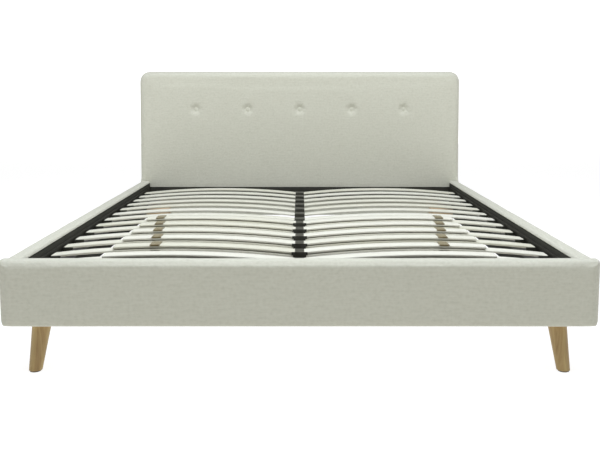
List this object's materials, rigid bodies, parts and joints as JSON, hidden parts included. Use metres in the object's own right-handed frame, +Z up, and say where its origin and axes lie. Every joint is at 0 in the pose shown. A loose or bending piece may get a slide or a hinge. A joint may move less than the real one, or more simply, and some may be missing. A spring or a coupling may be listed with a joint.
{
  "type": "upholstered bed frame",
  "caption": "Low upholstered bed frame with a buttoned headboard, padded rails, splayed oak legs and two banks of bowed slats on a black steel frame.",
  "frame": {"origin": "on the floor, in the middle of the bed", "axes": "+X to the right seen from the foot end, +Y from foot to head, +Z up"},
  "size_m": [1.72, 2.14, 0.922],
  "materials": {
    "upholstery": "off-white slub-woven cloth",
    "foam": "polyurethane foam",
    "timber": "sawn pine",
    "lining": "black non-woven lining",
    "oak": "oiled oak",
    "slat_wood": "foil-faced bent birch, cream",
    "black_steel": "black powder coat",
    "zinc": "zinc plated",
    "black_plastic": "moulded, satin",
    "slider_plastic": "brown moulded clip",
    "felt": "pressed felt"
  },
  "bodies": {
    "bed": {"corner_blocks": "timber", "corner_bolts": "zinc", "corner_brackets": "zinc", "foot_board": "timber", "foot_cover": "upholstery", "foot_foam": "foam", "foot_lining": "lining", "frame_beam": "black_steel", "frame_foot": "black_steel", "frame_head": "black_steel", "frame_left": "black_steel", "frame_right": "black_steel", "headboard_back_cloth": "lining", "headboard_board": "timber", "headboard_buttons": "upholstery", "headboard_cover": "upholstery", "headboard_foam": "foam", "ledge_foot": "black_steel", "ledge_head": "black_steel", "ledge_left": "black_steel", "ledge_right": "black_steel", "ledge_screws": "black_steel", "leg_back_left": "oak", "leg_back_right": "oak", "leg_front_left": "oak", "leg_front_right": "oak", "leg_glides": "felt", "leg_plate_screws": "zinc", "leg_plates": "zinc", "leg_studs": "zinc", "middle_holders": "black_plastic", "middle_post": "black_steel", "post_plug": "black_plastic", "post_screws": "zinc", "rail_left_board": "timber", "rail_left_cover": "upholstery", "rail_left_foam": "foam", "rail_left_lining": "lining", "rail_right_board": "timber", "rail_right_cover": "upholstery", "rail_right_foam": "foam", "rail_right_lining": "lining", "side_holders_left": "black_plastic", "side_holders_right": "black_plastic", "slats_left": "slat_wood", "slats_right": "slat_wood", "upper_slats_left": "slat_wood", "upper_slats_right": "slat_wood"},
    "slider_left_1": {"slider_left_1": "slider_plastic"},
    "slider_left_2": {"slider_left_2": "slider_plastic"},
    "slider_left_3": {"slider_left_3": "slider_plastic"},
    "slider_left_4": {"slider_left_4": "slider_plastic"},
    "slider_left_5": {"slider_left_5": "slider_plastic"},
    "slider_right_1": {"slider_right_1": "slider_plastic"},
    "slider_right_2": {"slider_right_2": "slider_plastic"},
    "slider_right_3": {"slider_right_3": "slider_plastic"},
    "slider_right_4": {"slider_right_4": "slider_plastic"},
    "slider_right_5": {"slider_right_5": "slider_plastic"},
    "screw_foot": {"screw_foot": "black_plastic"}
  },
  "joints": [
    {"name": "slider_left_1_slide", "type": "hinge", "parent": "bed", "child": "slider_left_1", "pos_m": [-0.4035, -0.754, -3.21614], "axis": [0, 1, 0], "range_deg": [-1.92, 6.84]},
    {"name": "slider_left_2_slide", "type": "hinge", "parent": "bed", "child": "slider_left_2", "pos_m": [-0.4035, -0.613, -3.21614], "axis": [0, 1, 0], "range_deg": [-1.59, 7.17]},
    {"name": "slider_left_3_slide", "type": "hinge", "parent": "bed", "child": "slider_left_3", "pos_m": [-0.4035, -0.472, -3.21614], "axis": [0, 1, 0], "range_deg": [-1.27, 7.49]},
    {"name": "slider_left_4_slide", "type": "hinge", "parent": "bed", "child": "slider_left_4", "pos_m": [-0.4035, -0.331, -3.21614], "axis": [0, 1, 0], "range_deg": [-0.94, 7.81]},
    {"name": "slider_left_5_slide", "type": "hinge", "parent": "bed", "child": "slider_left_5", "pos_m": [-0.4035, -0.19, -3.21614], "axis": [0, 1, 0], "range_deg": [-0.62, 8.14]},
    {"name": "slider_right_1_slide", "type": "hinge", "parent": "bed", "child": "slider_right_1", "pos_m": [0.4035, -0.754, -3.21614], "axis": [0, 1, 0], "range_deg": [-6.84, 1.92]},
    {"name": "slider_right_2_slide", "type": "hinge", "parent": "bed", "child": "slider_right_2", "pos_m": [0.4035, -0.613, -3.21614], "axis": [0, 1, 0], "range_deg": [-7.17, 1.59]},
    {"name": "slider_right_3_slide", "type": "hinge", "parent": "bed", "child": "slider_right_3", "pos_m": [0.4035, -0.472, -3.21614], "axis": [0, 1, 0], "range_deg": [-7.49, 1.27]},
    {"name": "slider_right_4_slide", "type": "hinge", "parent": "bed", "child": "slider_right_4", "pos_m": [0.4035, -0.331, -3.21614], "axis": [0, 1, 0], "range_deg": [-7.81, 0.94]},
    {"name": "slider_right_5_slide", "type": "hinge", "parent": "bed", "child": "slider_right_5", "pos_m": [0.4035, -0.19, -3.21614], "axis": [0, 1, 0], "range_deg": [-8.14, 0.62]},
    {"name": "screw_foot_height", "type": "slide", "parent": "bed", "child": "screw_foot", "axis": [0, 0, 1], "range_m": [0, 0.02]}
  ]
}
